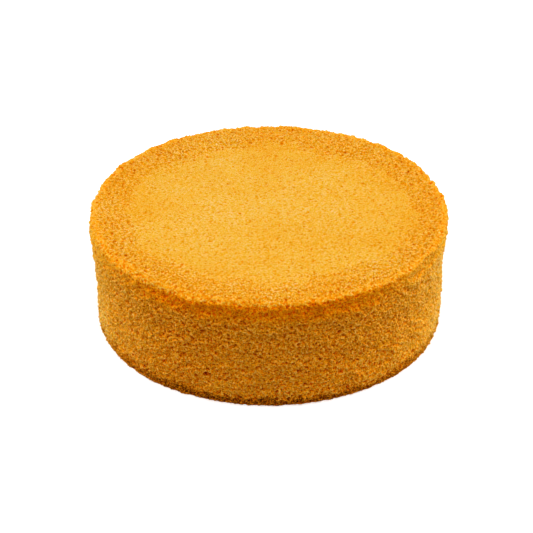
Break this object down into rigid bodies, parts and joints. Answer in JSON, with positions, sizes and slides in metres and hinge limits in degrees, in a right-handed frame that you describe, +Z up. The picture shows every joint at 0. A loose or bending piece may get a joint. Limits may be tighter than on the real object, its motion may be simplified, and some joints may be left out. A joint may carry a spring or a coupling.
{
  "type": "sponge cake",
  "caption": "Plain round sponge cake layer, uncut and undecorated, with a slightly dished top, a rougher ring at the rim and a porous torn side.",
  "frame": {"origin": "centre of the flat base that the cake rests on", "axes": "+Z up through the middle of the cake; the pictured front faces -Y"},
  "size_m": [0.2004, 0.2004, 0.0663],
  "materials": {
    "crumb": "matt, soft and porous golden sponge crumb, browner at the rim and the foot"
  },
  "bodies": {
    "root": {"sponge": "crumb"}
  },
  "joints": []
}
